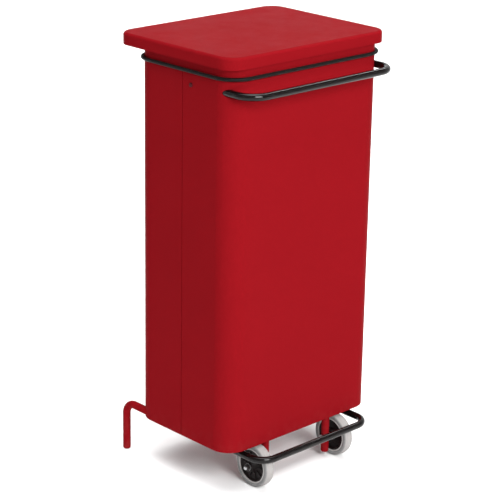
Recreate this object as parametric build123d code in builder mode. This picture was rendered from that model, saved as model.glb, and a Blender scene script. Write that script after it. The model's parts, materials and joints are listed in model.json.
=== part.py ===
from build123d import *
import os
from math import cos, radians, sin

# Pedal-operated sheet-steel waste bin on two wheels and two bent tube legs.
# Millimetres. The front (handle, pedal and wheels) faces -Y, the lid hinge is at +Y, +Z is up.
# The origin is on the floor, at the centre of the body.

# ---- driving dimensions --------------------------------------------------------------------
sheet = 1.5  # steel sheet of the body, tray and lid

body_width = 450.0
body_depth = 305.0
body_corner = 48.0
body_bottom = 105.0
shell_top = 932.0
seam_gap = 1.5  # between the door and the rear shell, at Y = 0
flange_width = 12.0  # folded edge of both half shells at the seam

collar_bottom = 932.4
collar_top = 972.0
collar_flange = 11.5

lid_width = 470.0
lid_depth = 365.0
lid_corner = 40.0
lid_bottom = 959.0
lid_top = 985.0
lid_centre_y = 23.5
lid_edge = 7.0

band_radius = 4.0  # elastic sack band
band_height = 938.0

handle_radius = 8.0
handle_wall = 2.0
handle_half_width = 214.0
handle_front = -199.0
handle_back = -19.0
handle_corner = 45.0
handle_height = 908.0
handle_screw_y = -27.0

frame_radius = 9.0  # tubes of the frame and the legs
frame_wall = 1.5
frame_height = 117.0
rear_leg_x = body_width / 2 - sheet - frame_radius
rear_leg_start = 20.0
rear_leg_y = 201.0
rear_leg_bend = 29.0
rear_tube_y = 60.0
wheel_leg_x = 96.0
wheel_leg_bottom = 20.0
plug_depth = 7.0  # domed plug under a wheel leg
frame_rail_x = 70.0
foot_height = 6.0
spigot = 14.0  # length of a tube plug inside its tube

wheel_x = 125.0
wheel_y = -136.0
wheel_radius = 50.0
rim_radius = 37.0
axle_radius = 4.0
running_gap = 0.05  # radial, of every shaft that turns or slides in a hole
hub_inner = -16.3  # along the axle, from the wheel's middle plane, outwards
hub_outer = 20.0
hub_bore = 7.0
hub_play = 0.3  # between a hub's end and its washer
washer_radius = 8.0
washer_thickness = 1.6
nut_inradius = 6.5
nut_thickness = 6.5
bolt_head = 5.3
bolt_end = 3.6  # of an axle bolt past its nut

pedal_radius = 8.0
pedal_wall = 2.0
pedal_half_width = 168.0
pedal_front = -202.0
pedal_corner = 36.0
pedal_height = 90.0
pivot_radius = 6.0

link_radius = 3.0  # lift rod and its two pins
link_y = 166.0
lever_pin_z = 76.0

hinge_x = 120.0  # lid hinges
hinge_y = 178.0
hinge_z = 957.0
hinge_pin_radius = 3.0
ear_thickness = 2.0
ear_gap = 8.0
lid_arm = 14.0  # from the lid's hinge line to the pin that the lift rod pushes
lid_swing = 75.0
lid_pin_y = hinge_y - lid_arm * cos(radians(lid_swing / 2))
lid_pin_z = hinge_z - lid_arm * sin(radians(lid_swing / 2))

door_axis_x = 229.0
door_knuckle = 3.7
door_pin_radius = 2.0
leaf_width = 26.0
leaf_height = 50.0
knuckle_gap = 0.4
door_hinge_heights = (230.0, 520.0, 810.0)

rivet_radius = 1.6
rivet_head = 3.4
rivet_rise = 1.5
rivet_hole_depth = 10.0  # of a drilling through any sheet
screw_radius = 2.5
screw_head = 4.75
screw_rise = 2.6

# ---- worked out from them ------------------------------------------------------------------
half_width = body_width / 2
half_depth = body_depth / 2
sides = (("left", -1), ("right", 1))

os.makedirs("parts", exist_ok=True)


def write_piece(piece, name):
    """Labels a finished sub-part and writes it as its own STEP file."""
    piece.part.label = name
    export_step(piece.part, f"parts/{name}.step")


def plane_x(x):
    """A plane across the bin at x: its first direction is +Y, its second +Z, its normal +X."""
    return Plane(origin=(x, 0, 0), x_dir=(0, 1, 0), z_dir=(1, 0, 0))


def half_shell(side):
    """Half of the folded body in plan: side -1 is the front half, +1 the rear half."""
    RectangleRounded(body_width, body_depth, body_corner)
    RectangleRounded(
        body_width - 2 * sheet, body_depth - 2 * sheet, body_corner - sheet, mode=Mode.SUBTRACT
    )
    with Locations((0, -side * half_depth)):
        Rectangle(body_width + 2, body_depth + seam_gap, mode=Mode.SUBTRACT)
    flange_x = half_width - flange_width / 2
    with Locations(*[(x, side * (seam_gap + sheet) / 2) for x in (-flange_x, flange_x)]):
        Rectangle(flange_width, sheet)


def tube_section(radius, wall):
    """A tube's cross-section, for a sketch at the start of its path."""
    Circle(radius)
    Circle(radius - wall, mode=Mode.SUBTRACT)


# Rivets through the sheet: (x, y, z) on the outer face. The hinge leaves take two each side.
hinge_rivets = {
    side: [
        (half_width, side * 17.0, z + dz) for z in door_hinge_heights for dz in (-16.0, 16.0)
    ]
    for side in (-1, 1)
}
guide_heights = (300.0, 700.0)
guide_rivets = [(x, half_depth, z) for x in (-13.0, 13.0) for z in guide_heights]
bracket_rivets = [
    (side * hinge_x + dx, half_depth, hinge_z) for side in (-1, 1) for dx in (-9.0, 9.0)
]
magnet_heights = (330.0, 710.0)
magnet_length = 40.0

# ---- rear shell: the fixed half of the body -------------------------------------------------
with BuildPart() as rear_shell:
    with BuildSketch(Plane.XY.offset(body_bottom)):
        half_shell(1)
    extrude(amount=shell_top - body_bottom)
    # The rear legs leave through the two rounded corners.
    with Locations(*[(side * rear_leg_x, 130.0, frame_height) for _, side in sides]):
        Cylinder(frame_radius + 0.3, 60, rotation=(90, 0, 0), mode=Mode.SUBTRACT)
    # Slots in the left flange for the two door magnets.
    with Locations(*[(-half_width + 9.0, 2.0, z) for z in magnet_heights]):
        Box(10.4, 4.0, magnet_length + 0.4, mode=Mode.SUBTRACT)
    with Locations(*hinge_rivets[1]):
        Cylinder(rivet_radius, rivet_hole_depth, rotation=(0, 90, 0), mode=Mode.SUBTRACT)
    with Locations(*guide_rivets):
        Cylinder(rivet_radius, rivet_hole_depth, rotation=(90, 0, 0), mode=Mode.SUBTRACT)
write_piece(rear_shell, "rear_shell")

# ---- front shell: the door --------------------------------------------------------------------
with BuildPart() as front_shell:
    with BuildSketch(Plane.XY.offset(body_bottom)):
        half_shell(-1)
    extrude(amount=shell_top - body_bottom)
    # The handle enters through the two rounded corners, and a screw each side holds it.
    with Locations(*[(side * handle_half_width, -130.0, handle_height) for _, side in sides]):
        Cylinder(handle_radius + 0.5, 60, rotation=(90, 0, 0), mode=Mode.SUBTRACT)
    with Locations((0, handle_screw_y, handle_height)):
        Cylinder(screw_radius + 0.1, body_width + 10, rotation=(0, 90, 0), mode=Mode.SUBTRACT)
    with Locations(*hinge_rivets[-1]):
        Cylinder(rivet_radius, rivet_hole_depth, rotation=(0, 90, 0), mode=Mode.SUBTRACT)
write_piece(front_shell, "front_shell")

# ---- collar: the fixed neck that the sack hangs from -----------------------------------------
with BuildPart() as collar:
    with BuildSketch(Plane.XY.offset(collar_bottom)):
        RectangleRounded(body_width, body_depth, body_corner)
        RectangleRounded(
            body_width - 2 * sheet, body_depth - 2 * sheet, body_corner - sheet, mode=Mode.SUBTRACT
        )
    extrude(amount=collar_top - collar_bottom)
    with BuildSketch(Plane.XY.offset(collar_top - sheet)):
        RectangleRounded(body_width, body_depth, body_corner)
        RectangleRounded(
            body_width - 2 * collar_flange,
            body_depth - 2 * collar_flange,
            body_corner - collar_flange,
            mode=Mode.SUBTRACT,
        )
    extrude(amount=sheet)
    fillet(collar.edges().group_by(Axis.Z)[-1].sort_by(SortBy.LENGTH)[-4:], radius=1.0)
    with Locations(*bracket_rivets):
        Cylinder(rivet_radius, rivet_hole_depth, rotation=(90, 0, 0), mode=Mode.SUBTRACT)
write_piece(collar, "collar")

# Four welded straps join the collar to the rear shell from inside.
strap_bottom, strap_top = 884.0, 966.0
with BuildPart() as collar_straps:
    with BuildSketch(Plane.XY.offset(strap_bottom)):
        with Locations(*[(side * 80.0, half_depth - sheet - 1.0) for _, side in sides]):
            Rectangle(30, 2)
        with Locations(*[(side * (half_width - sheet - 1.0), 62.0) for _, side in sides]):
            Rectangle(2, 30)
    extrude(amount=strap_top - strap_bottom)
write_piece(collar_straps, "collar_straps")

# ---- elastic band that grips the sack round the collar ---------------------------------------
with BuildPart() as sack_band:
    reach_x = half_width + band_radius
    reach_y = half_depth + band_radius
    with BuildLine(Plane.XY.offset(band_height)) as band_path:
        FilletPolyline(
            (0, -reach_y),
            (reach_x, -reach_y),
            (reach_x, reach_y),
            (-reach_x, reach_y),
            (-reach_x, -reach_y),
            (-1, -reach_y),
            radius=body_corner + band_radius,
        )
        Line((-1, -reach_y), (0, -reach_y))
    with BuildSketch(Plane(origin=band_path.line @ 0, z_dir=(1, 0, 0))):
        Circle(band_radius)
    sweep(path=band_path.wires()[0])
write_piece(sack_band, "sack_band")

# ---- floor tray --------------------------------------------------------------------------------
tray_bottom = frame_height + frame_radius
tray_rim = 14.0
tray_front, tray_back = -140.0, 148.0
tray_half_width = 200.0
with BuildPart() as base_tray:
    with BuildSketch(Plane.XY.offset(tray_bottom)):
        with Locations((0, (tray_front + tray_back) / 2)):
            RectangleRounded(2 * tray_half_width, tray_back - tray_front, 70)
    extrude(amount=tray_rim)
    fillet(base_tray.edges().group_by(Axis.Z)[0], radius=5)
    offset(amount=-sheet, openings=base_tray.faces().sort_by(Axis.Z)[-1])
write_piece(base_tray, "base_tray")

# ---- tubular frame -----------------------------------------------------------------------------
rear_rail_holes = [(side * rear_leg_x, rear_tube_y, frame_height) for _, side in sides]
with BuildPart() as rear_cross_tube:
    with BuildSketch(plane_x(-rear_leg_x + 4)):
        with Locations((rear_tube_y, frame_height)):
            tube_section(frame_radius, frame_wall)
    extrude(amount=2 * (rear_leg_x - 4))
    with Locations(*rear_rail_holes):
        Cylinder(frame_radius, 60, rotation=(90, 0, 0), mode=Mode.SUBTRACT)
write_piece(rear_cross_tube, "rear_cross_tube")

front_tube_half = 160.0
with BuildPart() as front_cross_tube:
    with BuildSketch(plane_x(-front_tube_half)):
        with Locations((wheel_y, frame_height)):
            tube_section(frame_radius, frame_wall)
    extrude(amount=2 * front_tube_half)
write_piece(front_cross_tube, "front_cross_tube")

with BuildPart() as tube_end_caps:
    for _, side in sides:
        with BuildSketch(plane_x(side * front_tube_half)):
            with Locations((wheel_y, frame_height)):
                Circle(frame_radius)
        extrude(amount=side * 2.0)
write_piece(tube_end_caps, "tube_end_caps")

for name, side in sides:
    with BuildPart() as frame_rail:
        with BuildSketch(Plane.XZ.offset(-(wheel_y + 4))):
            with Locations((side * frame_rail_x, frame_height)):
                tube_section(frame_radius, frame_wall)
        extrude(amount=-(rear_tube_y - wheel_y - 8))
        with Locations((0, wheel_y, frame_height), (0, rear_tube_y, frame_height)):
            Cylinder(frame_radius, 300, rotation=(0, 90, 0), mode=Mode.SUBTRACT)
    write_piece(frame_rail, f"frame_rail_{name}")

    with BuildPart() as rear_leg:
        x = side * rear_leg_x
        with BuildLine() as leg_path:
            FilletPolyline(
                (x, rear_leg_start, frame_height),
                (x, rear_leg_y, frame_height),
                (x, rear_leg_y, foot_height),
                radius=rear_leg_bend,
            )
        with BuildSketch(Plane(origin=leg_path.line @ 0, z_dir=leg_path.line % 0)):
            tube_section(frame_radius, frame_wall)
        sweep(path=leg_path.wires()[0])
    write_piece(rear_leg, f"rear_leg_{name}")

    with BuildPart() as wheel_leg:
        with BuildSketch(Plane.XY.offset(wheel_leg_bottom)):
            with Locations((side * wheel_leg_x, wheel_y)):
                tube_section(frame_radius, frame_wall)
        extrude(amount=frame_height - 4 - wheel_leg_bottom)
        with Locations((side * wheel_leg_x, wheel_y, frame_height)):
            Cylinder(frame_radius, 60, rotation=(0, 90, 0), mode=Mode.SUBTRACT)
        with Locations((side * wheel_leg_x, wheel_y, wheel_radius)):
            Cylinder(axle_radius, 60, rotation=(0, 90, 0), mode=Mode.SUBTRACT)
    write_piece(wheel_leg, f"wheel_leg_{name}")

# Domed plugs close the tube ends: the rear pair are the feet.
with BuildPart() as leg_feet:
    with BuildSketch():
        with Locations(*[(side * rear_leg_x, rear_leg_y) for _, side in sides]):
            Circle(frame_radius)
    extrude(amount=foot_height)
    fillet(leg_feet.edges().group_by(Axis.Z)[0], radius=4.5)
    with BuildSketch(Plane.XY.offset(foot_height)):
        with Locations(*[(side * rear_leg_x, rear_leg_y) for _, side in sides]):
            Circle(frame_radius - frame_wall)
    extrude(amount=spigot)
write_piece(leg_feet, "leg_feet")

with BuildPart() as wheel_leg_plugs:
    plug_places = [(side * wheel_leg_x, wheel_y) for _, side in sides]
    with BuildSketch(Plane.XY.offset(wheel_leg_bottom - plug_depth)):
        with Locations(*plug_places):
            Circle(frame_radius)
    extrude(amount=plug_depth)
    fillet(wheel_leg_plugs.edges().group_by(Axis.Z)[0], radius=5)
    with BuildSketch(Plane.XY.offset(wheel_leg_bottom)):
        with Locations(*plug_places):
            Circle(frame_radius - frame_wall)
    extrude(amount=spigot)
write_piece(wheel_leg_plugs, "wheel_leg_plugs")

# ---- axles ----------------------------------------------------------------------------------------
washer_start = wheel_x + hub_outer + hub_play
nut_start = washer_start + washer_thickness
axle_end = nut_start + nut_thickness + bolt_end
head_start = wheel_leg_x - frame_radius
spacer_start = wheel_leg_x + frame_radius
with BuildPart() as axle_bolts:
    for _, side in sides:
        with BuildSketch(plane_x(side * head_start)):
            with Locations((wheel_y, wheel_radius)):
                RegularPolygon(nut_inradius, 6, major_radius=False)
        extrude(amount=-side * bolt_head)
        with BuildSketch(plane_x(side * head_start)):
            with Locations((wheel_y, wheel_radius)):
                Circle(axle_radius)
        extrude(amount=side * (axle_end - head_start))
    ends = axle_bolts.edges().filter_by(GeomType.CIRCLE).sort_by(Axis.X)
    fillet([ends[0], ends[-1]], radius=1.5)
write_piece(axle_bolts, "axle_bolts")

with BuildPart() as axle_nuts:
    for _, side in sides:
        with BuildSketch(plane_x(side * nut_start)):
            with Locations((wheel_y, wheel_radius)):
                RegularPolygon(nut_inradius, 6, major_radius=False)
                Circle(axle_radius, mode=Mode.SUBTRACT)
        extrude(amount=side * nut_thickness)
write_piece(axle_nuts, "axle_nuts")

with BuildPart() as axle_washers:
    for _, side in sides:
        for start, thickness in (
            (washer_start, washer_thickness),
            (spacer_start, wheel_x + hub_inner - hub_play - spacer_start),
        ):
            with BuildSketch(plane_x(side * start)):
                with Locations((wheel_y, wheel_radius)):
                    Circle(washer_radius)
                    Circle(axle_radius, mode=Mode.SUBTRACT)
            extrude(amount=side * thickness)
write_piece(axle_washers, "axle_washers")

# ---- wheels -----------------------------------------------------------------------------------------
for name, side in sides:
    axle = Axis((0, wheel_y, wheel_radius), (1, 0, 0))
    # In this plane the first direction runs outwards along the axle, the second up from it.
    wheel_plane = Plane(
        origin=(side * wheel_x, wheel_y, wheel_radius), x_dir=(side, 0, 0), z_dir=(0, -side, 0)
    )
    with BuildPart() as tyre:
        with BuildSketch(wheel_plane):
            with BuildLine():
                Polyline((12.5, 45.5), (12.5, 40), (10.5, rim_radius), (-10.5, rim_radius))
                Polyline((-10.5, rim_radius), (-12.5, 40), (-12.5, 45.5))
                ThreePointArc((-12.5, 45.5), (-11.5, 47.7), (-9.5, 48.8))
                ThreePointArc((-9.5, 48.8), (0, wheel_radius), (9.5, 48.8))
                ThreePointArc((9.5, 48.8), (11.5, 47.7), (12.5, 45.5))
            make_face()
        revolve(axis=axle)
    write_piece(tyre, f"tyre_{name}")

    with BuildPart() as rim:
        with BuildSketch(wheel_plane):
            with BuildLine():
                Polyline(
                    (hub_inner, hub_bore),
                    (hub_inner, 12.5),
                    (-4, 14),
                    (-4, 32),
                    (-10.5, 33),
                    (-10.5, rim_radius),
                    (10.5, rim_radius),
                    (10.5, 33.5),
                    (6.5, 31.5),
                    (6.5, 15.5),
                    (10, 13),
                    (hub_outer, 10.5),
                    (hub_outer, hub_bore),
                    close=True,
                )
            make_face()
        revolve(axis=axle)
    write_piece(rim, f"rim_{name}")

    with BuildPart() as bush:
        with BuildSketch(wheel_plane):
            with Locations(((hub_inner + hub_outer) / 2, (axle_radius + running_gap + hub_bore) / 2)):
                Rectangle(hub_outer - hub_inner, hub_bore - axle_radius - running_gap)
        revolve(axis=axle)
    write_piece(bush, f"wheel_bush_{name}")

# ---- handle -------------------------------------------------------------------------------------------
with BuildPart() as handle:
    with BuildLine(Plane.XY.offset(handle_height)) as handle_path:
        FilletPolyline(
            (-handle_half_width, handle_back),
            (-handle_half_width, handle_front),
            (handle_half_width, handle_front),
            (handle_half_width, handle_back),
            radius=handle_corner,
        )
    with BuildSketch(Plane(origin=handle_path.line @ 0, z_dir=handle_path.line % 0)):
        tube_section(handle_radius, handle_wall)
    sweep(path=handle_path.wires()[0])
    with Locations((0, handle_screw_y, handle_height)):
        Cylinder(screw_radius, body_width, rotation=(0, 90, 0), mode=Mode.SUBTRACT)
write_piece(handle, "handle")

screw_inner = handle_half_width - handle_radius - 3
with BuildPart() as handle_screws:
    for _, side in sides:
        with BuildSketch(plane_x(side * half_width)):
            with Locations((handle_screw_y, handle_height)):
                Circle(screw_head)
        extrude(amount=side * screw_rise)
        with BuildSketch(plane_x(side * screw_inner)):
            with Locations((handle_screw_y, handle_height)):
                Circle(screw_radius)
        extrude(amount=side * (half_width - screw_inner))
    heads = handle_screws.edges().filter_by(GeomType.CIRCLE).sort_by(Axis.X)
    fillet([heads[0], heads[-1]], radius=1.8)
write_piece(handle_screws, "handle_screws")

handle_outer = handle_half_width + handle_radius
with BuildPart() as handle_spacers:
    for _, side in sides:
        with BuildSketch(plane_x(side * handle_outer)):
            with Locations((handle_screw_y, handle_height)):
                Circle(7)
                Circle(screw_radius, mode=Mode.SUBTRACT)
        extrude(amount=side * (half_width - sheet - handle_outer))
write_piece(handle_spacers, "handle_spacers")

# ---- door hinges: three pairs of leaves on the right-hand side ---------------------------------------
def hinge_leaves(side, knuckle_spans, pin_hole):
    """The leaves of one half shell: knuckle_spans are the heights of its knuckles on each."""
    for z in door_hinge_heights:
        with BuildSketch(Plane.XY.offset(z - leaf_height / 2)) as leaf:
            with Locations((half_width + sheet / 2, side * (4.5 + leaf_width) / 2)):
                Rectangle(sheet, leaf_width - 4.5)
        extrude(leaf.sketch, amount=leaf_height)
        for low, high in knuckle_spans:
            with BuildSketch(Plane.XY.offset(z + low)) as knuckle:
                with Locations((door_axis_x, 0)):
                    Circle(door_knuckle)
                with Locations((half_width + sheet / 2, side * 2.4)):
                    Rectangle(sheet, 4.8)
                with Locations((door_axis_x, 0)):
                    Circle(pin_hole, mode=Mode.SUBTRACT)
            extrude(knuckle.sketch, amount=high - low)
    with Locations(*hinge_rivets[side]):
        Cylinder(rivet_radius, rivet_hole_depth, rotation=(0, 90, 0), mode=Mode.SUBTRACT)


with BuildPart() as door_leaves_rear:
    hinge_leaves(1, ((-25.0, -9.0), (9.0, 25.0)), door_pin_radius)
write_piece(door_leaves_rear, "door_leaves_rear")

with BuildPart() as door_leaves_front:
    hinge_leaves(-1, ((-9.0 + knuckle_gap, 9.0 - knuckle_gap),), door_pin_radius + running_gap)
write_piece(door_leaves_front, "door_leaves_front")

with BuildPart() as door_hinge_pins:
    for z in door_hinge_heights:
        with BuildSketch(Plane.XY.offset(z - 25.0)):
            with Locations((door_axis_x, 0)):
                Circle(door_pin_radius)
        extrude(amount=50)
        with BuildSketch(Plane.XY.offset(z + 25.0)):
            with Locations((door_axis_x, 0)):
                Circle(3.2)
        extrude(amount=1.6)
write_piece(door_hinge_pins, "door_hinge_pins")


def rivets(places, direction, depth, head_offset):
    """Domed rivets: head_offset is how far the head stands off the shell's outer face."""
    for place in places:
        face = Plane(origin=place, z_dir=direction).offset(head_offset)
        with BuildSketch(face) as head:
            Circle(rivet_head)
        extrude(head.sketch, amount=rivet_rise)
        with BuildSketch(face) as shank:
            Circle(rivet_radius)
        extrude(shank.sketch, amount=-depth)


for name, side in (("door_rivets", -1), ("rear_hinge_rivets", 1)):
    with BuildPart() as hinge_rivet_set:
        rivets(hinge_rivets[side], (1, 0, 0), 2 * sheet + 1.5, sheet)
        tops = hinge_rivet_set.edges().filter_by(GeomType.CIRCLE).group_by(Axis.X)[-1]
        fillet(tops, radius=1.2)
    write_piece(hinge_rivet_set, name)

# ---- door magnets -----------------------------------------------------------------------------------------
with BuildPart() as door_magnets:
    with Locations(*[(-half_width + 9.0, 6.0, z) for z in magnet_heights]):
        Box(10, 11.2, magnet_length)
    chamfer(door_magnets.edges().filter_by(Axis.Z), length=0.8)
write_piece(door_magnets, "door_magnets")

# ---- lid ---------------------------------------------------------------------------------------------
with BuildPart() as lid_shell:
    with BuildSketch(Plane.XY.offset(lid_bottom)):
        with Locations((0, lid_centre_y)):
            RectangleRounded(lid_width, lid_depth, lid_corner)
    extrude(amount=lid_top - lid_bottom)
    fillet(lid_shell.edges().group_by(Axis.Z)[-1], radius=lid_edge)
    offset(amount=-sheet, openings=lid_shell.faces().sort_by(Axis.Z)[0])
write_piece(lid_shell, "lid_shell")

lid_under = lid_top - sheet
rail_thickness = 3.0
rail_bottom = lid_under - rail_thickness
with BuildPart() as lid_hinge_rail:
    with BuildSketch(Plane.XY.offset(rail_bottom)):
        with Locations((0, hinge_y)):
            RectangleRounded(300, 38, 6)
    extrude(amount=rail_thickness)
write_piece(lid_hinge_rail, "lid_hinge_rail")


def ear(y, z, radius, foot_low, foot_high, foot_z, hole):
    """A pressed lug: a rounded eye at (y, z) spreading to a foot at the height foot_z."""
    with Locations((y, z)):
        Circle(radius)
    with Locations(((foot_low + foot_high) / 2, foot_z)):
        Rectangle(foot_high - foot_low, 4)
    make_hull()
    with Locations((y, z)):
        Circle(hole, mode=Mode.SUBTRACT)


with BuildPart() as lid_clevises:
    for _, side in sides:
        for start in (-ear_gap / 2 - ear_thickness, ear_gap / 2):
            with BuildSketch(plane_x(side * hinge_x + start)):
                ear(hinge_y, hinge_z, 8, 164, 192, rail_bottom - 2, hinge_pin_radius)
            extrude(amount=ear_thickness)
        with Locations((side * hinge_x, hinge_y, rail_bottom - 1)):
            Box(ear_gap + 2 * ear_thickness, 28, 2)
write_piece(lid_clevises, "lid_clevises")

with BuildPart() as lid_hinge_pins:
    for _, side in sides:
        with Locations((side * hinge_x, hinge_y, hinge_z)):
            Cylinder(hinge_pin_radius, 18, rotation=(0, 90, 0))
        with Locations(*[(side * hinge_x + dx, hinge_y, hinge_z) for dx in (-8, 8)]):
            Cylinder(5, 4 - ear_thickness, rotation=(0, 90, 0))
write_piece(lid_hinge_pins, "lid_hinge_pins")

with BuildPart() as lid_lever:
    for start in (-5.4, 3.4):
        with BuildSketch(plane_x(start)):
            ear(lid_pin_y, lid_pin_z, 5, 162, 184, rail_bottom - 2, link_radius)
        extrude(amount=ear_thickness)
write_piece(lid_lever, "lid_lever")

with BuildPart() as lid_lever_pin:
    with Locations((0, lid_pin_y, lid_pin_z)):
        Cylinder(link_radius, 14, rotation=(0, 90, 0))
    chamfer(lid_lever_pin.edges().filter_by(GeomType.CIRCLE), length=0.6)
write_piece(lid_lever_pin, "lid_lever_pin")

buffer_x = half_width - 6.0
with BuildPart() as lid_buffers:
    with BuildSketch(Plane.XY.offset(collar_top + 0.3)):
        with Locations(*[(side * buffer_x, y) for _, side in sides for y in (-85.0, 85.0)]):
            Circle(5)
    extrude(amount=lid_under - collar_top - 0.3)
    fillet(lid_buffers.edges().group_by(Axis.Z)[0], radius=1.5)
write_piece(lid_buffers, "lid_buffers")

# ---- lid hinge brackets, on the back of the collar -------------------------------------------------------
with BuildPart() as lid_hinge_brackets:
    for _, side in sides:
        with BuildSketch(plane_x(side * hinge_x - 1.5)):
            with Locations((hinge_y, hinge_z)):
                Circle(8)
            with Locations((half_depth + 2, hinge_z)):
                Rectangle(4, 22)
            make_hull()
            with Locations((hinge_y, hinge_z)):
                Circle(hinge_pin_radius + running_gap, mode=Mode.SUBTRACT)
        extrude(amount=3)
        with Locations((side * hinge_x, half_depth + 1, hinge_z)):
            Box(28, 2, 22)
    with Locations(*bracket_rivets):
        Cylinder(rivet_radius, rivet_hole_depth, rotation=(90, 0, 0), mode=Mode.SUBTRACT)
write_piece(lid_hinge_brackets, "lid_hinge_brackets")

# ---- lift rod and its guides -----------------------------------------------------------------------------
eye_half_height = 5.7
with BuildPart() as lift_rod:
    with BuildSketch(Plane.XY.offset(94)):
        with Locations((0, link_y)):
            Circle(link_radius)
    extrude(amount=lid_pin_z - eye_half_height - 94)
write_piece(lift_rod, "lift_rod")

# The slot lets the lid's pin swing 3 mm towards the bin and back as it rises.
eye_y = hinge_y - lid_arm * (1 + cos(radians(lid_swing / 2))) / 2
with BuildPart() as lift_rod_eye:
    with BuildSketch(plane_x(-2.5)):
        with Locations((eye_y, lid_pin_z)):
            RectangleRounded(14, 2 * eye_half_height, 2)
            SlotOverall(10.6, 2 * link_radius + 0.9, mode=Mode.SUBTRACT)
    extrude(amount=5)
write_piece(lift_rod_eye, "lift_rod_eye")

with BuildPart() as lift_rod_clevis:
    for start in (-5.4, 3.4):
        with BuildSketch(plane_x(start)):
            with Locations((link_y, lever_pin_z)):
                Circle(6)
            with Locations((link_y, 91)):
                Rectangle(12, 6)
            make_hull()
            with Locations((link_y, lever_pin_z)):
                Circle(link_radius, mode=Mode.SUBTRACT)
        extrude(amount=2)
    with Locations((0, link_y, 91.5)):
        Box(10.8, 12, 5)
write_piece(lift_rod_clevis, "lift_rod_clevis")

with BuildPart() as lift_rod_pin:
    with Locations((0, link_y, lever_pin_z)):
        Cylinder(link_radius, 14, rotation=(0, 90, 0))
    chamfer(lift_rod_pin.edges().filter_by(GeomType.CIRCLE), length=0.6)
write_piece(lift_rod_pin, "lift_rod_pin")

with BuildPart() as rod_guides:
    for z in guide_heights:
        with Locations((0, half_depth + 1, z)):
            Box(36, 2, 20)
        with Locations((0, (half_depth + 2 + link_y + 7) / 2, z)):
            Box(14, link_y + 7 - half_depth - 2, 12)
    fillet(rod_guides.edges().filter_by(Axis.Z).group_by(Axis.Y)[-1], radius=5)
    with Locations((0, link_y, (guide_heights[0] + guide_heights[1]) / 2)):
        Cylinder(link_radius + running_gap, 600, mode=Mode.SUBTRACT)
    with Locations(*guide_rivets):
        Cylinder(rivet_radius, rivet_hole_depth, rotation=(90, 0, 0), mode=Mode.SUBTRACT)
write_piece(rod_guides, "rod_guides")

with BuildPart() as back_rivets:
    rivets(guide_rivets + bracket_rivets, (0, 1, 0), 2 + sheet + 1.5, 2)
    tops = back_rivets.edges().filter_by(GeomType.CIRCLE).group_by(Axis.Y)[-1]
    fillet(tops, radius=1.2)
write_piece(back_rivets, "back_rivets")

# ---- pedal -----------------------------------------------------------------------------------------------
pivot_y = rear_tube_y
pivot_z = pedal_height
with BuildPart() as pedal_bar:
    with BuildLine(Plane.XY.offset(pedal_height)) as pedal_path:
        FilletPolyline(
            (-pedal_half_width, pivot_y + 12),
            (-pedal_half_width, pedal_front),
            (pedal_half_width, pedal_front),
            (pedal_half_width, pivot_y + 12),
            radius=pedal_corner,
        )
    with BuildSketch(Plane(origin=pedal_path.line @ 0, z_dir=pedal_path.line % 0)):
        tube_section(pedal_radius, pedal_wall)
    sweep(path=pedal_path.wires()[0])
    with Locations((0, pivot_y, pivot_z)):
        Cylinder(pivot_radius, 400, rotation=(0, 90, 0), mode=Mode.SUBTRACT)
write_piece(pedal_bar, "pedal_bar")

pivot_half = pedal_half_width + pedal_radius + 2
with BuildPart() as pedal_pivot_rod:
    with Locations((0, pivot_y, pivot_z)):
        Cylinder(pivot_radius, 2 * pivot_half, rotation=(0, 90, 0))
    chamfer(pedal_pivot_rod.edges().filter_by(GeomType.CIRCLE), length=1)
write_piece(pedal_pivot_rod, "pedal_pivot_rod")

with BuildPart() as pedal_lever:
    with BuildSketch(plane_x(-2.75)):
        with Locations((pivot_y, pivot_z)):
            Circle(12)
        with Locations((link_y, lever_pin_z)):
            Circle(8)
        make_hull()
        with Locations((pivot_y, pivot_z)):
            Circle(pivot_radius, mode=Mode.SUBTRACT)
        with Locations((link_y, lever_pin_z)):
            SlotOverall(10.5, 2 * link_radius + 0.9, rotation=-7, mode=Mode.SUBTRACT)
    extrude(amount=5.5)
write_piece(pedal_lever, "pedal_lever")

bracket_x = 150.0
with BuildPart() as pedal_brackets:
    for _, side in sides:
        with BuildSketch(plane_x(side * bracket_x - 1.5)):
            with Locations((pivot_y, pivot_z)):
                Circle(11)
            with Locations((pivot_y, frame_height - 4)):
                Rectangle(24, 8)
            make_hull()
            with Locations((pivot_y, pivot_z)):
                Circle(pivot_radius + running_gap, mode=Mode.SUBTRACT)
            with Locations((pivot_y, frame_height)):
                Circle(frame_radius, mode=Mode.SUBTRACT)
        extrude(amount=3)
write_piece(pedal_brackets, "pedal_brackets")
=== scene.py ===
"""The looks of the pedal waste bin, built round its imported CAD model.

Metres in the CAD's own frame, except the wheels' profiles, which are in millimetres.
"""

import json
import math
import bmesh
import bpy
from mathutils import Matrix, Vector


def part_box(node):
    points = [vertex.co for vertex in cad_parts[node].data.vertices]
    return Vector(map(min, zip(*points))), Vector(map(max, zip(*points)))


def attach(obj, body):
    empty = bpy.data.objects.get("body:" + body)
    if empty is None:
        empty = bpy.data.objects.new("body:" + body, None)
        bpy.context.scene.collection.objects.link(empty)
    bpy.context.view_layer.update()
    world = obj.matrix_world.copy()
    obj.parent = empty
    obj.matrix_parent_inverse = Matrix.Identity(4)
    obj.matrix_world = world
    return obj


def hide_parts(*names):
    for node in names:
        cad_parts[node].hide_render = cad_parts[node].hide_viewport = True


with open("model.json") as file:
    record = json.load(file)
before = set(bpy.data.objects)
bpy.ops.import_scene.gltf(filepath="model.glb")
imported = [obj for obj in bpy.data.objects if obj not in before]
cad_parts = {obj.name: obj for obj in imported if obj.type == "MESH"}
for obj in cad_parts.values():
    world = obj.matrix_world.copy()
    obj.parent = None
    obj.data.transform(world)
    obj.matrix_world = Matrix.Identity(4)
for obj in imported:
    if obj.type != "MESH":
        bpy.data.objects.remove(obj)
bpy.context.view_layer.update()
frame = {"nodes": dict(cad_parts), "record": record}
nodes = frame["nodes"]
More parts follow.
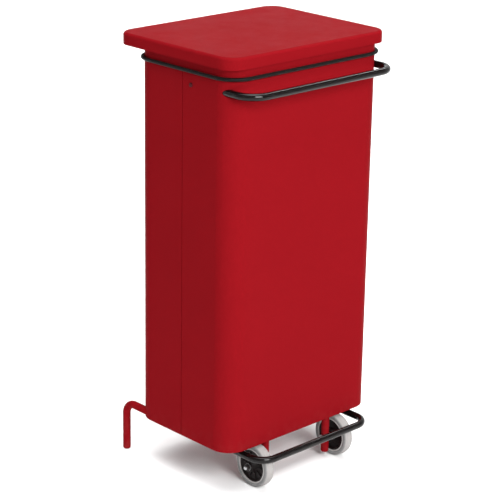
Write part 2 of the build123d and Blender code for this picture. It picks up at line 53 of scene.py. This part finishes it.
scene = bpy.context.scene
MM = 0.001


# ---- materials ---------------------------------------------------------------------------------

def shader(name, colour, roughness, sockets=()):
    """A material with a Principled shader; returns it with its node tree, shader and coordinates."""
    material = bpy.data.materials.new(name)
    material.use_nodes = True
    tree = material.node_tree
    principled = tree.nodes["Principled BSDF"]
    principled.inputs["Base Color"].default_value = (*colour, 1.0)
    principled.inputs["Roughness"].default_value = roughness
    for socket, value in sockets:
        principled.inputs[socket].default_value = value
    place = tree.nodes.new("ShaderNodeTexCoord").outputs["Object"]
    return material, tree, principled, place


def noise(tree, place, scale, detail=3.0, roughness=0.55, stretch=None):
    """Noise with about `scale` features a metre, stretched along the axes if asked."""
    if stretch:
        mapping = tree.nodes.new("ShaderNodeMapping")
        mapping.inputs["Scale"].default_value = stretch
        tree.links.new(place, mapping.inputs["Vector"])
        place = mapping.outputs["Vector"]
    texture = tree.nodes.new("ShaderNodeTexNoise")
    texture.inputs["Scale"].default_value = scale
    texture.inputs["Detail"].default_value = detail
    texture.inputs["Roughness"].default_value = roughness
    tree.links.new(place, texture.inputs["Vector"])
    return texture.outputs["Fac"]


def remap(tree, value, low, high, to_low, to_high):
    """value from low..high to to_low..to_high, clamped."""
    ramp = tree.nodes.new("ShaderNodeMapRange")
    for socket, number in (
        ("From Min", low), ("From Max", high), ("To Min", to_low), ("To Max", to_high)
    ):
        ramp.inputs[socket].default_value = number
    tree.links.new(value, ramp.inputs["Value"])
    return ramp.outputs["Result"]


def mixed(tree, factor, first, second):
    """Two colours (or a socket and a colour) mixed by a factor socket."""
    mix = tree.nodes.new("ShaderNodeMix")
    mix.data_type = "RGBA"
    tree.links.new(factor, mix.inputs["Factor"])
    for socket, colour in (("A", first), ("B", second)):
        target = [i for i in mix.inputs if i.name == socket and i.type == "RGBA"][0]
        if isinstance(colour, tuple):
            target.default_value = (*colour, 1.0)
        else:
            tree.links.new(colour, target)
    return [o for o in mix.outputs if o.type == "RGBA"][0]


def bump(tree, principled, layers):
    """Bump from (height socket, depth in metres) pairs, the first layer the coarsest."""
    normal = None
    for height, depth in layers:
        node = tree.nodes.new("ShaderNodeBump")
        node.inputs["Strength"].default_value = 1.0
        node.inputs["Distance"].default_value = depth
        tree.links.new(height, node.inputs["Height"])
        if normal:
            tree.links.new(normal, node.inputs["Normal"])
        normal = node.outputs["Normal"]
    tree.links.new(normal, principled.inputs["Normal"])


def height_above_floor(tree, place):
    split = tree.nodes.new("ShaderNodeSeparateXYZ")
    tree.links.new(place, split.inputs["Vector"])
    return split.outputs["Z"]


RED = (0.184, 0.0043, 0.0071)
DUST_ON_RED = (0.30, 0.10, 0.09)
DUST_HEIGHT = 0.16


def red_paint():
    """Powder coat on sheet steel: orange peel, slow tone changes, faint scuffs and floor dust."""
    # A higher specular level lays a pale haze over the faces seen at a grazing angle.
    material, tree, principled, place = shader(
        "red_powder_coat", RED, 0.36, [("Specular IOR Level", 0.003)]
    )
    tone = remap(tree, noise(tree, place, 5.0, 4.0), 0.3, 0.7, 0.0, 1.0)
    speckle = remap(tree, noise(tree, place, 900.0, 2.0), 0.35, 0.65, 0.0, 1.0)
    red = mixed(tree, tone, tuple(0.96 * c for c in RED), tuple(1.04 * c for c in RED))
    grained = mixed(tree, speckle, red, tuple(0.88 * c for c in RED))
    dusty = tree.nodes.new("ShaderNodeMath")
    dusty.operation = "MULTIPLY"
    low = remap(tree, height_above_floor(tree, place), 0.0, DUST_HEIGHT, 1.0, 0.0)
    patches = remap(tree, noise(tree, place, 70.0, 5.0), 0.45, 0.75, 0.0, 0.14)
    tree.links.new(low, dusty.inputs[0])
    tree.links.new(patches, dusty.inputs[1])
    painted = mixed(tree, dusty.outputs["Value"], grained, DUST_ON_RED)
    tree.links.new(painted, principled.inputs["Base Color"])
    scuffs = noise(tree, place, 14.0, 6.0, 0.7, (1.0, 1.0, 0.25))
    tree.links.new(remap(tree, scuffs, 0.35, 0.75, 0.28, 0.42), principled.inputs["Roughness"])
    bump(tree, principled, [
        (noise(tree, place, 6.0, 1.0), 0.0001),
        (noise(tree, place, 300.0, 2.0), 0.00005),
        (noise(tree, place, 1400.0, 2.0), 0.000015),
    ])
    return material


BLACK = (0.0032, 0.0022, 0.0021)
WORN_BLACK = (0.012, 0.009, 0.0085)


def black_enamel():
    """Hard gloss black on the bent tubes, with fine rub marks."""
    material, tree, principled, place = shader(
        "black_enamel", BLACK, 0.1, [("Specular IOR Level", 0.22)]
    )
    rub = noise(tree, place, 60.0, 6.0, 0.7)
    tree.links.new(remap(tree, rub, 0.35, 0.75, 0.07, 0.17), principled.inputs["Roughness"])
    worn = remap(tree, noise(tree, place, 180.0, 4.0), 0.62, 0.78, 0.0, 0.4)
    tree.links.new(mixed(tree, worn, BLACK, WORN_BLACK), principled.inputs["Base Color"])
    bump(tree, principled, [(noise(tree, place, 260.0, 2.0), 0.00005)])
    return material


BAND_BLACK = (0.004, 0.0036, 0.0035)
DUSTY_BAND = (0.016, 0.015, 0.013)


def band_rubber():
    """The elastic sack band: dull black rubber with a faint dusting."""
    material, tree, principled, place = shader(
        "band_rubber", BAND_BLACK, 0.42, [("Specular IOR Level", 0.1)]
    )
    dust = remap(tree, noise(tree, place, 220.0, 5.0), 0.45, 0.75, 0.0, 0.4)
    tree.links.new(mixed(tree, dust, BAND_BLACK, DUSTY_BAND), principled.inputs["Base Color"])
    tree.links.new(
        remap(tree, noise(tree, place, 90.0, 4.0), 0.3, 0.7, 0.38, 0.6),
        principled.inputs["Roughness"],
    )
    bump(tree, principled, [(noise(tree, place, 1100.0, 3.0), 0.00006)])
    return material


def distance_from_axle(tree, place):
    """How far a point is from the axles' line, in metres."""
    low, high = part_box("tyre_left")
    middle = (low + high) / 2
    flat = tree.nodes.new("ShaderNodeVectorMath")
    flat.operation = "MULTIPLY"
    flat.inputs[1].default_value = (0.0, 1.0, 1.0)
    tree.links.new(place, flat.inputs[0])
    distance = tree.nodes.new("ShaderNodeVectorMath")
    distance.operation = "DISTANCE"
    distance.inputs[1].default_value = (0.0, middle.y, middle.z)
    tree.links.new(flat.outputs["Vector"], distance.inputs[0])
    return distance.outputs["Value"]


# Radii over which the wear on a tyre's lip fades out, and the wear on its tread fades in.
LIP_WEAR = (0.0395, 0.0400)
TREAD_WEAR = (0.0474, 0.0488)


def tyre_rubber(name, colour, dusty, worn=None):
    """Moulded rubber with fine pores and floor dust; a tyre's lip and tread are worn paler."""
    material, tree, principled, place = shader(name, colour, 0.6, [("Specular IOR Level", 0.2)])
    dust = remap(tree, noise(tree, place, 160.0, 6.0), 0.4, 0.75, 0.0, 0.6)
    tint = mixed(tree, dust, colour, dusty)
    if worn:
        reach = distance_from_axle(tree, place)
        tint = mixed(tree, remap(tree, reach, *LIP_WEAR, 1.0, 0.0), tint, worn)
        tint = mixed(tree, remap(tree, reach, *TREAD_WEAR, 0.0, 0.75), tint, worn)
    tree.links.new(tint, principled.inputs["Base Color"])
    tree.links.new(
        remap(tree, noise(tree, place, 320.0, 4.0), 0.3, 0.7, 0.5, 0.72),
        principled.inputs["Roughness"],
    )
    bump(tree, principled, [
        (noise(tree, place, 500.0, 3.0), 0.00008),
        (noise(tree, place, 2400.0, 3.0), 0.00004),
    ])
    return material


def moulded_plastic(name, colour, lighter, roughness, specular=0.5):
    """Injection-moulded plastic with a fine satin grain."""
    material, tree, principled, place = shader(
        name, colour, roughness, [("Specular IOR Level", specular)]
    )
    flecks = remap(tree, noise(tree, place, 130.0, 5.0), 0.4, 0.75, 0.0, 0.7)
    tree.links.new(mixed(tree, flecks, colour, lighter), principled.inputs["Base Color"])
    tree.links.new(
        remap(tree, noise(tree, place, 400.0, 3.0), 0.3, 0.7, roughness - 0.06, roughness + 0.1),
        principled.inputs["Roughness"],
    )
    bump(tree, principled, [(noise(tree, place, 1800.0, 2.0), 0.00003)])
    return material


ZINC = (0.56, 0.57, 0.59)
DULL_ZINC = (0.46, 0.46, 0.46)


def zinc_steel():
    """Bright zinc plating with a little dulling and fine drawing marks."""
    material, tree, principled, place = shader("zinc_steel", ZINC, 0.32, [("Metallic", 1.0)])
    dull = remap(tree, noise(tree, place, 240.0, 5.0), 0.4, 0.7, 0.0, 1.0)
    tree.links.new(mixed(tree, dull, ZINC, DULL_ZINC), principled.inputs["Base Color"])
    tree.links.new(
        remap(tree, noise(tree, place, 500.0, 4.0), 0.3, 0.7, 0.24, 0.46),
        principled.inputs["Roughness"],
    )
    bump(tree, principled, [(noise(tree, place, 900.0, 3.0, 0.6, (1.0, 1.0, 0.2)), 0.00001)])
    return material


def floor_paint():
    """Matt pale studio floor."""
    material, tree, principled, place = shader("studio_floor", (0.9, 0.9, 0.9), 0.9)
    tree.links.new(
        mixed(tree, noise(tree, place, 2.0, 3.0), (0.89, 0.89, 0.89), (0.91, 0.91, 0.91)),
        principled.inputs["Base Color"],
    )
    return material


MATERIALS = {
    "red_paint": red_paint(),
    "black_enamel": black_enamel(),
    "band_rubber": band_rubber(),
    "buffer_rubber": tyre_rubber("buffer_rubber", (0.02, 0.02, 0.02), (0.05, 0.05, 0.05)),
    "tyre_rubber": tyre_rubber(
        "tyre_rubber", (0.165, 0.165, 0.165), (0.24, 0.235, 0.23), worn=(0.34, 0.325, 0.315)
    ),
    "rim_plastic": moulded_plastic(
        "rim_plastic", (0.005, 0.0033, 0.0032), (0.018, 0.012, 0.012), 0.3, specular=0.12
    ),
    "bush_plastic": moulded_plastic("bush_plastic", (0.55, 0.54, 0.5), (0.66, 0.65, 0.6), 0.42),
    "zinc_steel": zinc_steel(),
    # The handle's end screws are the red paint darkened to stand for the shade in the recesses they
    # sit in: a painted shade, not a colour of their own.
    "dark_screw": moulded_plastic(
        "dark_screw", (0.045, 0.003, 0.005), (0.07, 0.012, 0.014), 0.4, specular=0.08
    ),
    "black_nut": moulded_plastic(
        "black_nut", (0.012, 0.009, 0.009), (0.04, 0.034, 0.032), 0.3, specular=0.3
    ),
    "magnet": moulded_plastic("magnet", (0.03, 0.03, 0.032), (0.07, 0.07, 0.075), 0.45),
}


def paint_cad_nodes():
    """Gives every CAD node the material of its slot in the record."""
    for subpart in frame["record"]["subparts"]:
        mesh = nodes[subpart["node"]].data
        mesh.materials.clear()
        mesh.materials.append(MATERIALS[subpart["material_slot"]])
        for polygon in mesh.polygons:
            polygon.material_index = 0


# ---- pieces built here --------------------------------------------------------------------------

def finish_piece(name, shape, slot, body, rounding=0.0, smooth_angle=30):
    """Turns a bmesh into a piece that has the slot's material and moves with a CAD body."""
    bmesh.ops.recalc_face_normals(shape, faces=shape.faces)
    mesh = bpy.data.meshes.new(name)
    shape.to_mesh(mesh)
    shape.free()
    for polygon in mesh.polygons:
        polygon.use_smooth = True
    mesh.materials.append(MATERIALS[slot])
    piece = bpy.data.objects.new(name, mesh)
    scene.collection.objects.link(piece)
    if rounding:
        bevel = piece.modifiers.new("rounded_edges", "BEVEL")
        bevel.width = rounding
        bevel.segments = 2
        bevel.limit_method = "ANGLE"
        bevel.angle_limit = math.radians(smooth_angle)
    else:
        mesh.set_sharp_from_angle(angle=math.radians(smooth_angle))
    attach(piece, body)
    return piece


def add_ring(shape, profile, centre, side, segments=96):
    """A closed profile of (out along X, radius) in millimetres, turned about the axle."""
    loops = []
    for k in range(segments):
        angle = 2 * math.pi * k / segments
        loops.append([
            shape.verts.new((
                centre.x + side * along * MM,
                centre.y + radius * MM * math.cos(angle),
                centre.z + radius * MM * math.sin(angle),
            ))
            for along, radius in profile
        ])
    for k in range(segments):
        this, after = loops[k], loops[(k + 1) % segments]
        for i in range(len(profile)):
            j = (i + 1) % len(profile)
            shape.faces.new((this[i], this[j], after[j], after[i]))


# Half a tyre's profile, from its seat on the rim to the middle of the tread.
TYRE_HALF = [
    (10.5, 37.0), (11.7, 37.3), (12.4, 38.0), (12.4, 39.2), (11.7, 39.9), (11.7, 40.7),
    (12.3, 41.6), (12.5, 43.4), (12.3, 45.5), (11.7, 47.2), (10.4, 48.4), (9.9, 48.2), (9.3, 48.3),
    (9.0, 49.0), (6.4, 49.4), (6.1, 48.9), (5.4, 48.9), (5.1, 49.6), (2.6, 49.9),
]
RIM_PROFILE = [
    (-16.3, 7.0), (-16.3, 11.5), (-15.6, 12.5), (-5.5, 13.6), (-4.0, 15.5), (-4.0, 31.0),
    (-5.0, 32.0), (-10.5, 33.0), (-10.5, 37.0), (10.5, 37.0), (11.0, 36.4), (11.0, 34.6),
    (10.3, 34.0), (8.2, 32.6), (6.5, 31.4), (5.6, 28.0), (5.6, 19.0), (6.5, 15.8), (9.8, 13.2),
    (17.5, 11.6), (19.4, 10.9), (20.0, 10.2), (20.0, 7.0),
]
RIM_RIBS = 10


def add_rib(shape, centre, side, angle):
    """One moulded rib on the outer face of a rim, from the hub out to the flange."""
    half_thick = 0.9
    outline = [(4.8, 14.0), (4.8, 32.6), (8.4, 32.6), (7.6, 26.0), (8.0, 19.0), (9.6, 14.0)]
    across = Vector((0.0, -math.sin(angle), math.cos(angle)))
    outwards = Vector((0.0, math.cos(angle), math.sin(angle)))
    loops = []
    for offset in (-half_thick, half_thick):
        loops.append([
            shape.verts.new(
                centre
                + Vector((side * along, 0, 0)) * MM
                + (outwards * radius + across * offset) * MM
            )
            for along, radius in outline
        ])
    shape.faces.new(loops[0])
    shape.faces.new(loops[1])
    for i in range(len(outline)):
        j = (i + 1) % len(outline)
        shape.faces.new((loops[0][i], loops[0][j], loops[1][j], loops[1][i]))


def wheels():
    """Tyres with a lip and a grooved tread, and ribbed rims, in place of the plain CAD ones."""
    tyre_profile = TYRE_HALF + [(-along, radius) for along, radius in reversed(TYRE_HALF)]
    for name, side in (("left", -1), ("right", 1)):
        low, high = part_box(f"tyre_{name}")
        centre = (low + high) / 2
        shape = bmesh.new()
        add_ring(shape, tyre_profile, centre, side, segments=128)
        tyre = finish_piece(
            f"moulded_tyre_{name}", shape, "tyre_rubber", f"wheel_{name}", rounding=0.0002
        )
        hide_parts(f"tyre_{name}")
        shape = bmesh.new()
        add_ring(shape, RIM_PROFILE, centre, side)
        for k in range(RIM_RIBS):
            add_rib(shape, centre, side, 2 * math.pi * k / RIM_RIBS)
        rim = finish_piece(
            f"ribbed_rim_{name}", shape, "rim_plastic", f"wheel_{name}", rounding=0.0003
        )
        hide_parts(f"rim_{name}")


WELD_RADIUS = 0.0019
WELD_RIPPLES = 18


def weld_bead(name, centre, stub, crossed, tube_radius):
    """A rippled weld where a tube that comes along `stub` ends on one of its size along `crossed`."""
    third = stub.cross(crossed)
    rings, around = 72, 10
    points = []
    for k in range(rings):
        angle = 2 * math.pi * k / rings
        sideways, along = math.sin(angle) * tube_radius, math.cos(angle) * tube_radius
        points.append(centre + crossed * along + third * sideways + stub * abs(along))
    shape = bmesh.new()
    loops = []
    for k, point in enumerate(points):
        ahead = (points[(k + 1) % rings] - points[k - 1]).normalized()
        spoke = (point - centre).normalized()
        lift = ahead.cross(spoke).normalized()
        uneven = 0.06 * math.sin(k * 1.7)
        ripple = 1.0 + 0.13 * math.sin(2 * math.pi * k * WELD_RIPPLES / rings) + uneven
        loops.append([
            shape.verts.new(
                point + (spoke * math.cos(turn) + lift * math.sin(turn)) * WELD_RADIUS * ripple
            )
            for turn in (2 * math.pi * i / around for i in range(around))
        ])
    for k in range(rings):
        this, after = loops[k], loops[(k + 1) % rings]
        for i in range(around):
            j = (i + 1) % around
            shape.faces.new((this[i], this[j], after[j], after[i]))
    finish_piece(name, shape, "red_paint", "chassis", smooth_angle=60)


def welds():
    """Weld beads at the joints of the tube frame under the body."""
    front_low, front_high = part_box("front_cross_tube")
    front = (front_low + front_high) / 2
    rear_low, rear_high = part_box("rear_cross_tube")
    rear = (rear_low + rear_high) / 2
    radius = (front_high.z - front_low.z) / 2
    x, y, z = Vector((1, 0, 0)), Vector((0, 1, 0)), Vector((0, 0, 1))
    for name, side in (("left", -1), ("right", 1)):
        leg_low, leg_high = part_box(f"wheel_leg_{name}")
        leg_x = (leg_low.x + leg_high.x) / 2
        rail_low, rail_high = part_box(f"frame_rail_{name}")
        rail_x = (rail_low.x + rail_high.x) / 2
        rear_leg_low, rear_leg_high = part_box(f"rear_leg_{name}")
        rear_leg_x = (rear_leg_low.x + rear_leg_high.x) / 2
        weld_bead(f"weld_wheel_leg_{name}", Vector((leg_x, front.y, front.z)), -z, x, radius)
        weld_bead(f"weld_rail_front_{name}", Vector((rail_x, front.y, front.z)), y, x, radius)
        weld_bead(f"weld_rail_rear_{name}", Vector((rail_x, rear.y, rear.z)), -y, x, radius)
        weld_bead(f"weld_rear_leg_{name}", Vector((rear_leg_x, rear.y, rear.z)), x * -side, y, radius)


# ---- stage, lights and camera ---------------------------------------------------------------------

def stage():
    """A pale floor that curves up into a backdrop all round."""
    radius, bend, height = 9.0, 2.5, 7.0
    steps, count = 12, 96
    profile = [(0.0, 0.0), (radius - bend, 0.0)]
    for step in range(1, steps + 1):
        angle = math.radians(90 * step / steps)
        profile.append((radius - bend + bend * math.sin(angle), bend - bend * math.cos(angle)))
    profile.append((radius, height))
    mesh = bpy.data.meshes.new("studio")
    shape = bmesh.new()
    turns = [2 * math.pi * k / count for k in range(count)]
    rings = []
    for r, z in profile:
        if r == 0.0:
            rings.append([shape.verts.new((0, 0, z))])
            continue
        rings.append([
            shape.verts.new((r * math.cos(turn), r * math.sin(turn), z)) for turn in turns
        ])
    for inner, outer in zip(rings, rings[1:]):
        for k in range(count):
            after = (k + 1) % count
            if len(inner) == 1:
                shape.faces.new((inner[0], outer[k], outer[after]))
            else:
                shape.faces.new((inner[k], outer[k], outer[after], inner[after]))
    for face in shape.faces:
        face.smooth = True
    shape.to_mesh(mesh)
    shape.free()
    studio = bpy.data.objects.new("studio", mesh)
    mesh.materials.append(floor_paint())
    scene.collection.objects.link(studio)


def area_light(name, place, target, size, power, spread=180):
    """A rectangular light of `power` watts that faces the target; its spread is in degrees."""
    light = bpy.data.lights.new(name, "AREA")
    light.spread = math.radians(spread)
    light.shape = "RECTANGLE"
    light.size, light.size_y = size
    light.energy = power
    lamp = bpy.data.objects.new(name, light)
    lamp.location = place
    lamp.rotation_euler = (Vector(target) - Vector(place)).to_track_quat("-Z", "Y").to_euler()
    scene.collection.objects.link(lamp)


SKY_STRENGTH = 0.25
WASH_STAND, WASH_WALL = 4.5, 9.0  # distances out from the bin: where a wash stands, what it lights
WASH_HEIGHT, WASH_AIM_HEIGHT = 6.0, 0.8
WASH_SIZE, WASH_POWER, WASH_SPREAD = (4.0, 2.0), 45, 120


def lights():
    """A dim white sky, a soft key from the front, an overhead, a thin strip and wall washes."""
    world = bpy.data.worlds.new("soft_sky")
    world.use_nodes = True
    background = world.node_tree.nodes["Background"]
    background.inputs["Color"].default_value = (1.0, 1.0, 1.0, 1.0)
    background.inputs["Strength"].default_value = SKY_STRENGTH
    scene.world = world
    middle = (0.0, 0.0, 0.5)
    area_light("key", (-1.2, -3.8, 2.7), middle, (2.0, 2.0), 260)
    area_light("overhead", (1.5, 1.8, 5.5), (1.5, 1.8, 0.0), (8.0, 8.0), 300, spread=85)
    area_light("strip", (2.1, 0.3, 3.1), (0.0, -0.2, 0.6), (0.2, 1.4), 22)
    # Washes on the backdrop, turned away from the bin.
    for corner in range(4):
        angle = math.radians(45 + 90 * corner)
        across, along = math.cos(angle), math.sin(angle)
        place = (WASH_STAND * across, WASH_STAND * along, WASH_HEIGHT)
        target = (WASH_WALL * across, WASH_WALL * along, WASH_AIM_HEIGHT)
        area_light(f"wall_wash_{corner}", place, target, WASH_SIZE, WASH_POWER, WASH_SPREAD)


CAMERA_AZIMUTH = 43.7  # degrees from -Y towards -X
CAMERA_ELEVATION = 18.91
CAMERA_ROLL = 0.99
CAMERA_DISTANCE = 3.809
CAMERA_SIDE = -0.0162
CAMERA_HEIGHT = 1.794
LENS = 129.6  # millimetres, as is the sensor
SENSOR_WIDTH = 36.0


def camera():
    """The camera fitted to the photograph, without lens shift."""
    azimuth, elevation = math.radians(CAMERA_AZIMUTH), math.radians(CAMERA_ELEVATION)
    ahead = Vector((math.sin(azimuth), math.cos(azimuth), 0.0))
    across = Vector((math.cos(azimuth), -math.sin(azimuth), 0.0))
    looking = ahead * math.cos(elevation) - Vector((0, 0, math.sin(elevation)))
    lens = bpy.data.cameras.new("camera")
    lens.lens = LENS
    lens.sensor_width = SENSOR_WIDTH
    view = bpy.data.objects.new("camera", lens)
    turn = looking.to_track_quat("-Z", "Y").to_matrix().to_4x4()
    roll = Matrix.Rotation(math.radians(CAMERA_ROLL), 4, "Z")
    spot = -ahead * CAMERA_DISTANCE + across * CAMERA_SIDE + Vector((0, 0, CAMERA_HEIGHT))
    view.matrix_world = Matrix.Translation(spot) @ turn @ roll
    scene.collection.objects.link(view)
    scene.camera = view


scene.view_settings.view_transform = "Standard"
camera()
paint_cad_nodes()
wheels()
welds()
stage()
lights()
